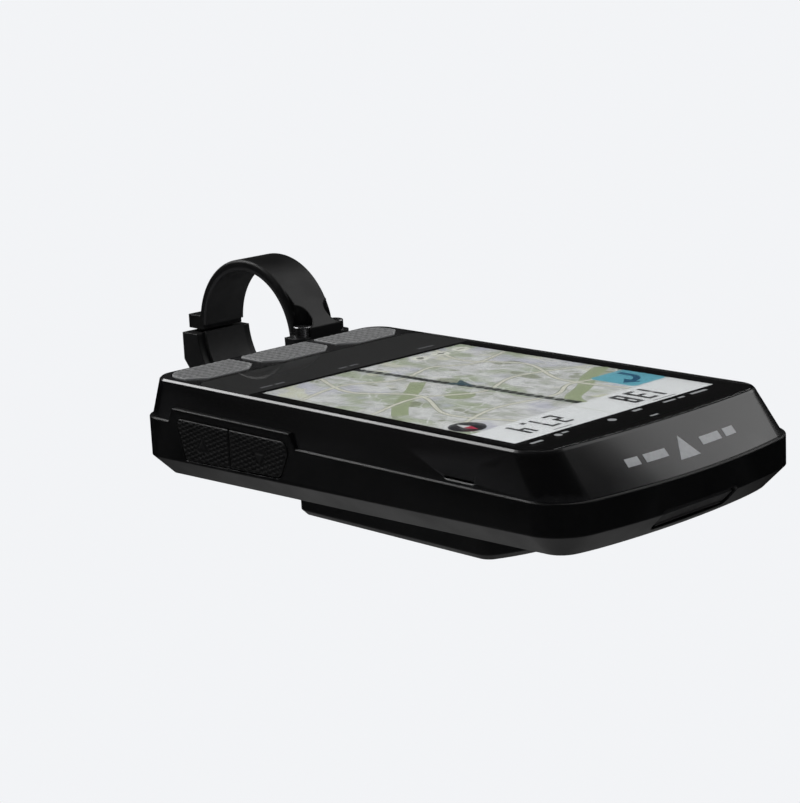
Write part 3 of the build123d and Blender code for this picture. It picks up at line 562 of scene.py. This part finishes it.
def smooth_copy(node, voxel_mm):
    """Evenly meshed copy of a CAD node's surface, as (mesh, array of vertices in frame metres)."""
    bm = bmesh.new()
    bm.from_mesh(NODES[node].data)
    bmesh.ops.remove_doubles(bm, verts=bm.verts, dist=1e-6)
    source = bpy.data.meshes.new(node + "_source")
    bm.to_mesh(source)
    bm.free()
    holder = bpy.data.objects.new(node + "_holder", source)
    bpy.context.scene.collection.objects.link(holder)
    remesh = holder.modifiers.new("even", "REMESH")
    remesh.mode = "VOXEL"
    remesh.voxel_size = voxel_mm * MM
    relax = holder.modifiers.new("relax", "SMOOTH")
    relax.iterations = 2
    relax.factor = 0.5
    graph = bpy.context.evaluated_depsgraph_get()
    mesh = bpy.data.meshes.new_from_object(holder.evaluated_get(graph))
    bpy.data.objects.remove(holder)
    bpy.data.meshes.remove(source)
    points = np.empty(len(mesh.vertices) * 3, np.float32)
    mesh.vertices.foreach_get("co", points)
    return mesh, points.reshape(-1, 3).astype(float)


def step(value, low, high):
    t = np.clip((value - low) / (high - low), 0, 1)
    return t * t * (3 - 2 * t)


def wave(value):
    """Triangle wave between 0 and 1 with period 1."""
    return np.abs((value % 1.0) * 2 - 1)


def case_mm(points):
    return (points - np.array(ORIGIN)) / MM


def finish_button(name, node, mesh, points, material):
    mesh.vertices.foreach_set("co", points.astype(np.float32).ravel())
    mesh.update()
    for polygon in mesh.polygons:
        polygon.use_smooth = True
    piece = mesh_object(name, mesh, material, NODES[node]["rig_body"])
    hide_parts(node)
    return piece


def rear_key(side, material):
    """Top button: slanting grooves pressed into its rubber skin."""
    node = "rear_button_" + side
    mesh, points = smooth_copy(node, KEY_VOXEL)
    x, y, z = case_mm(points).T
    top = z.max()
    face = step(z, top - 0.12, top - 0.02)
    pitch, row_length, groove = 1.9, 1.7, 0.16
    row = np.floor(y / row_length)
    ridge = wave((x + 0.9 * y + 0.45 * row) / pitch)
    points[:, 2] -= face * step(ridge, 0.35, 0.75) * groove * MM
    return finish_button(f"rear_key_{side}", node, mesh, points, material)


def side_key(node, centre, pointing, material):
    """Side button: diamond knurling on its face, with a raised triangle at centre (y, z)."""
    mesh, points = smooth_copy(node, KEY_VOXEL)
    x, y, z = case_mm(points).T
    sign = 1.0 if abs(x.max()) > abs(x.min()) else -1.0
    out = (x * sign).max()
    face = step(x * sign, out - 0.12, out - 0.02)
    pitch, knurl, recess, skirt = 2.5, 0.2, 0.14, 0.09
    diamonds = np.minimum(wave(y / pitch + z), wave(y / pitch - z))
    v, w = y - centre[0], (z - centre[1]) * pointing
    inside = np.minimum(w + 0.9, 1.25 - w - np.abs(v) * 1.5)
    plate = step(inside, -0.75, -0.6)
    mark = step(inside, -0.05, 0.1)
    depth = (1 - plate) * step(diamonds, 0.12, 0.42) * knurl + plate * (1 - mark) * recess
    points[:, 0] -= sign * face * depth * MM

    # The skirt inside the wall is drawn in a little, so that it clears the case when pressed
    normals = np.empty(len(mesh.vertices) * 3, np.float32)
    mesh.vertex_normals.foreach_get("vector", normals)
    behind = 1 - step(x * sign, out - 0.7, out - 0.35)
    points -= normals.reshape(-1, 3) * behind[:, None] * skirt * MM
    return finish_button(node.replace("_button", "_key"), node, mesh, points, material)


def build_buttons():
    grey = grooved_rubber()
    black = rubber("key_black", (0.007, 0.007, 0.0074), 0.55)
    for side in ("left", "centre", "right"):
        rear_key(side, grey)
    side_key("side_button_rear", (22.3, MARK_LEVEL), 1, black)
    side_key("side_button_front", (40.7, MARK_LEVEL), -1, black)
    side_key("power_button", (27.4, MARK_LEVEL), 1, black)


# ---------------------------------------------------------------- nose emblem


def finely(shape, longest):
    """The same outline with its sides cut into pieces no longer than this."""
    points = []
    for (ax, ay), (bx, by) in zip(shape, shape[1:] + shape[:1]):
        cuts = max(1, round(math.hypot(bx - ax, by - ay) / longest))
        points += [(ax + (bx - ax) * k / cuts, ay + (by - ay) * k / cuts) for k in range(cuts)]
    return points


def lay(bm, shape, place):
    """Thin closed plate over an outline: place(x, z, lift) gives a point above the surface."""
    sunk, edge, face = -0.05, 0.035, 0.06
    rim = finely(shape, 0.6)
    cx, cz = (sum(p[k] for p in shape) / len(shape) for k in (0, 1))
    loops = []
    for share, lift in ((1.0, sunk), (1.0, edge), (0.97, face), (0.5, face)):
        spots = [(cx + (px - cx) * share, cz + (pz - cz) * share) for px, pz in rim]
        loops.append([bm.verts.new(place(x, z, lift)) for x, z in spots])
    top = bm.verts.new(place(cx, cz, face))
    base = bm.verts.new(place(cx, cz, sunk))
    for i in range(len(rim)):
        j = (i + 1) % len(rim)
        for low, high in zip(loops, loops[1:]):
            bm.faces.new((low[i], low[j], high[j], high[i]))
        bm.faces.new((loops[-1][i], loops[-1][j], top))
        bm.faces.new((loops[0][j], loops[0][i], base))


def build_emblem(material):
    """A plain direction mark on the nose: a pointer between two pairs of bars, lying on the facet."""
    bm = bmesh.new()
    bm.from_mesh(NODES["top_housing"].data)
    tree = BVHTree.FromBMesh(bm)
    bm.free()

    def on_nose(x, z, lift):
        start = case(x, CASE_LENGTH + 20.0, z)
        hit, normal, _, _ = tree.ray_cast(start, Vector((0, -1, 0)))
        return hit + normal * lift * MM

    shapes = [[(-2.9, -6.3), (2.9, -6.3), (0.0, -2.7)]]
    for sign in (-1, 1):
        for offset, width in ((5.0, 6.0), (12.4, 3.4)):
            a, b = sorted((sign * offset, sign * (offset + width)))
            shapes.append(rectangle(a, b, -5.2, -3.9))
    bm = bmesh.new()
    for shape in shapes:
        lay(bm, shape, on_nose)
    bmesh.ops.recalc_face_normals(bm, faces=bm.faces)
    mesh = bpy.data.meshes.new("nose_emblem")
    bm.to_mesh(mesh)
    bm.free()
    mesh_object("nose_emblem", mesh, material, "computer")


# ---------------------------------------------------------------- carried-over CAD nodes


def paint_nodes():
    """Gives every CAD node its material."""
    shell = gloss_shell()
    lower = moulded("case_matte", (0.005, 0.005, 0.0053), 0.34, 0.22, 0.010)
    mount = moulded("mount_matte", (0.006, 0.006, 0.0064), 0.42, 0.3, 0.014)
    hard = moulded("socket_plastic", (0.02, 0.02, 0.021), 0.38, 0.3, 0.006)
    screws = metal("screw_steel", (0.5, 0.5, 0.51), 0.28)
    brass = metal("insert_brass", (0.72, 0.52, 0.24), 0.3)
    stamped = metal("stamped_metal", (0.62, 0.62, 0.64), 0.32, (1.0, 12.0, 1.0))
    board = circuit_board()
    film_amber = flat_colour("ribbon_film", (0.42, 0.20, 0.04), 0.3)
    silicone = rubber("silicone", (0.10, 0.10, 0.105), 0.5)
    black_rubber = rubber("black_rubber", (0.012, 0.012, 0.0125), 0.55)
    ceramic = flat_colour("ceramic", (0.55, 0.48, 0.36), 0.55)
    dark_plastic = flat_colour("dark_plastic", (0.03, 0.03, 0.03), 0.4)
    foil = metal("battery_foil", (0.55, 0.56, 0.58), 0.42)
    wire = flat_colour("wire_red", (0.45, 0.02, 0.02), 0.4)
    panel = flat_colour("panel_glass", (0.02, 0.022, 0.024), 0.2)
    given = {
        "top_housing": shell, "bottom_housing": lower, "cover_glass": clear_glass(),
        "mount_arm": mount, "clamp_cap": mount, "socket_insert": hard, "quarter_turn_plate": hard,
        "clamp_screws": screws, "insert_screws": screws, "housing_screws": screws, "plate_screws": screws,
        "threaded_inserts": brass, "bar_liners": black_rubber, "port_cover": black_rubber,
        "display_panel": panel, "display_frame": stamped, "shield_can": stamped, "usb_receptacle": stamped,
        "buzzer": dark_plastic, "main_board": board, "usb_board": board, "side_switch_board": board,
        "power_switch_board": board, "display_ribbon": film_amber, "usb_ribbon": film_amber,
        "housing_gasket": silicone, "glass_adhesive": black_rubber, "battery_pad": silicone,
        "vent_membrane": silicone, "gnss_antenna": ceramic, "pressure_sensor": stamped, "battery": foil,
        "battery_lead": wire, "battery_connector": dark_plastic, "rear_switches": stamped,
        "side_switches": stamped, "power_switch": stamped,
    }
    for name, node in NODES.items():
        node.data.materials.clear()
        node.data.materials.append(given.get(name, dark_plastic))


# ---------------------------------------------------------------- studio


def by_ray(tree, first, pairs):
    """Chain of shaders picked by the kind of ray: pairs are (Light Path output, shader output)."""
    path = tree.nodes.new("ShaderNodeLightPath")
    result = first
    for kind, shader in pairs:
        mix = tree.nodes.new("ShaderNodeMixShader")
        tree.links.new(path.outputs[kind], mix.inputs[0])
        tree.links.new(result, mix.inputs[1])
        tree.links.new(shader, mix.inputs[2])
        result = mix.outputs[0]
    return result


def glow(tree, color, strength, kind="ShaderNodeEmission"):
    node = tree.nodes.new(kind)
    node.inputs["Color"].default_value = (*color, 1.0)
    node.inputs["Strength"].default_value = strength
    return node.outputs[0]


PALE = (0.892, 0.903, 0.923)
FLOOR = cad_box[0].z - 0.07


def pale_floor(middle):
    """Evenly pale floor, clear from below. In reflections it shines near the object and is dark far off."""
    paint = Paint("floor", (0.86, 0.865, 0.875), 0.9)
    paint.vary("Roughness", paint.noise(60.0), 0.85, 0.95)
    tree = paint.tree
    far = paint.add("ShaderNodeVectorMath", operation="DISTANCE")
    paint.link(paint.add("ShaderNodeNewGeometry").outputs["Position"], far.inputs[0])
    far.inputs[1].default_value = (middle.x, middle.y, FLOOR)
    near = paint.ramp(far.outputs["Value"], [(0.08, 0.26), (0.17, 0.0)])
    mirrored = tree.nodes.new("ShaderNodeEmission")
    paint.link(near, mirrored.inputs["Color"])
    plain = glow(tree, PALE, 1.0)
    pairs = [("Is Glossy Ray", mirrored.outputs[0]), ("Is Camera Ray", plain)]
    one_sided = tree.nodes.new("ShaderNodeMixShader")
    paint.link(tree.nodes.new("ShaderNodeNewGeometry").outputs["Backfacing"], one_sided.inputs[0])
    paint.link(by_ray(tree, paint.shader.outputs[0], pairs), one_sided.inputs[1])
    paint.link(tree.nodes.new("ShaderNodeBsdfTransparent").outputs[0], one_sided.inputs[2])
    paint.link(one_sided.outputs[0], tree.nodes["Material Output"].inputs["Surface"])
    return paint.material


def softbox(name, towards, target, distance, size, radiance):
    """Area light seen from the target in one direction, with the brightness it has in a mirror."""
    light = bpy.data.lights.new(name, "AREA")
    light.shape = "RECTANGLE"
    light.size, light.size_y = size
    light.energy = radiance * math.pi * size[0] * size[1]
    lamp = bpy.data.objects.new(name, light)
    lamp.visible_camera = False
    aim = Vector(towards).normalized()
    lamp.location = target + aim * distance
    lamp.rotation_euler = aim.to_track_quat("Z", "Y").to_euler()
    bpy.context.scene.collection.objects.link(lamp)
    return lamp


def skip(lamp, node):
    """Keeps a light off one node, so that it leaves no glare there."""
    group = bpy.data.collections.new(lamp.name + "_skips")
    group.objects.link(node)
    lamp.light_linking.receiver_collection = group
    for member in group.collection_objects:
        member.light_linking.link_state = "EXCLUDE"


def studio():
    middle = (cad_box[0] + cad_box[1]) / 2
    bm = bmesh.new()
    bmesh.ops.create_grid(bm, x_segments=8, y_segments=8, size=6.0)
    bmesh.ops.translate(bm, verts=bm.verts, vec=(0, 0, FLOOR))
    mesh = bpy.data.meshes.new("floor")
    bm.to_mesh(mesh)
    bm.free()
    mesh.materials.append(pale_floor(middle))
    floor = bpy.data.objects.new("floor", mesh)
    bpy.context.scene.collection.objects.link(floor)

    bpy.context.scene.view_settings.view_transform = "Standard"
    world = bpy.data.worlds.new("studio")
    bpy.context.scene.world = world
    world.use_nodes = True
    tree = world.node_tree
    kind = "ShaderNodeBackground"
    surface = by_ray(tree, glow(tree, (0.95, 0.97, 1.0), 0.3, kind),
                     [("Is Glossy Ray", glow(tree, (1.0, 1.0, 1.0), 0.02, kind)),
                      ("Is Camera Ray", glow(tree, PALE, 1.0, kind))])
    tree.links.new(surface, tree.nodes["World Output"].inputs["Surface"])

    softbox("nose_sky", (-0.80, 0.16, 0.58), middle, 0.8, (0.55, 0.5), 1.5)
    rear_spot = softbox("rear_spot", (0.19, -0.73, 0.64), middle, 0.9, (0.28, 0.5), 8.0)
    skip(rear_spot, NODES["cover_glass"])
    softbox("rear_low", (0.75, -0.62, 0.02), middle, 1.0, (0.3, 0.5), 0.08)
    softbox("high_left", (-0.45, -0.15, 0.9), middle, 1.0, (0.25, 0.25), 2.5)


def camera():
    """A long lens from the front right, a little above the case, tilted by a small roll."""
    azimuth, elevation, roll = math.radians(42.3), math.radians(11.2), math.radians(-3.0)
    flat = math.cos(elevation)
    back = Vector((math.sin(azimuth) * flat, math.cos(azimuth) * flat, math.sin(elevation)))
    right = (-back).cross(Vector((0, 0, 1))).normalized()
    up = -math.sin(roll) * right + math.cos(roll) * right.cross(-back)

    # The eye looks at a point a little off the object's middle, with that same tilt
    place = case(301.3, 366.3, 96.5)
    target = (cad_box[0] + cad_box[1]) / 2 + Vector((0.004, 0.012, 0.002))
    back = (place - target).normalized()
    right = up.cross(back).normalized()
    up = back.cross(right)
    lens = bpy.data.cameras.new("camera")
    lens.lens = 96.0
    lens.clip_start = 0.01
    eye = bpy.data.objects.new("camera", lens)
    turn = Matrix((right, up, back)).transposed().to_4x4()
    eye.matrix_world = Matrix.Translation(place) @ turn
    bpy.context.scene.collection.objects.link(eye)
    bpy.context.scene.camera = eye


paint_nodes()
build_screen()
build_buttons()
build_emblem(flat_colour("emblem_grey", (0.62, 0.63, 0.64), 0.35))
studio()
camera()
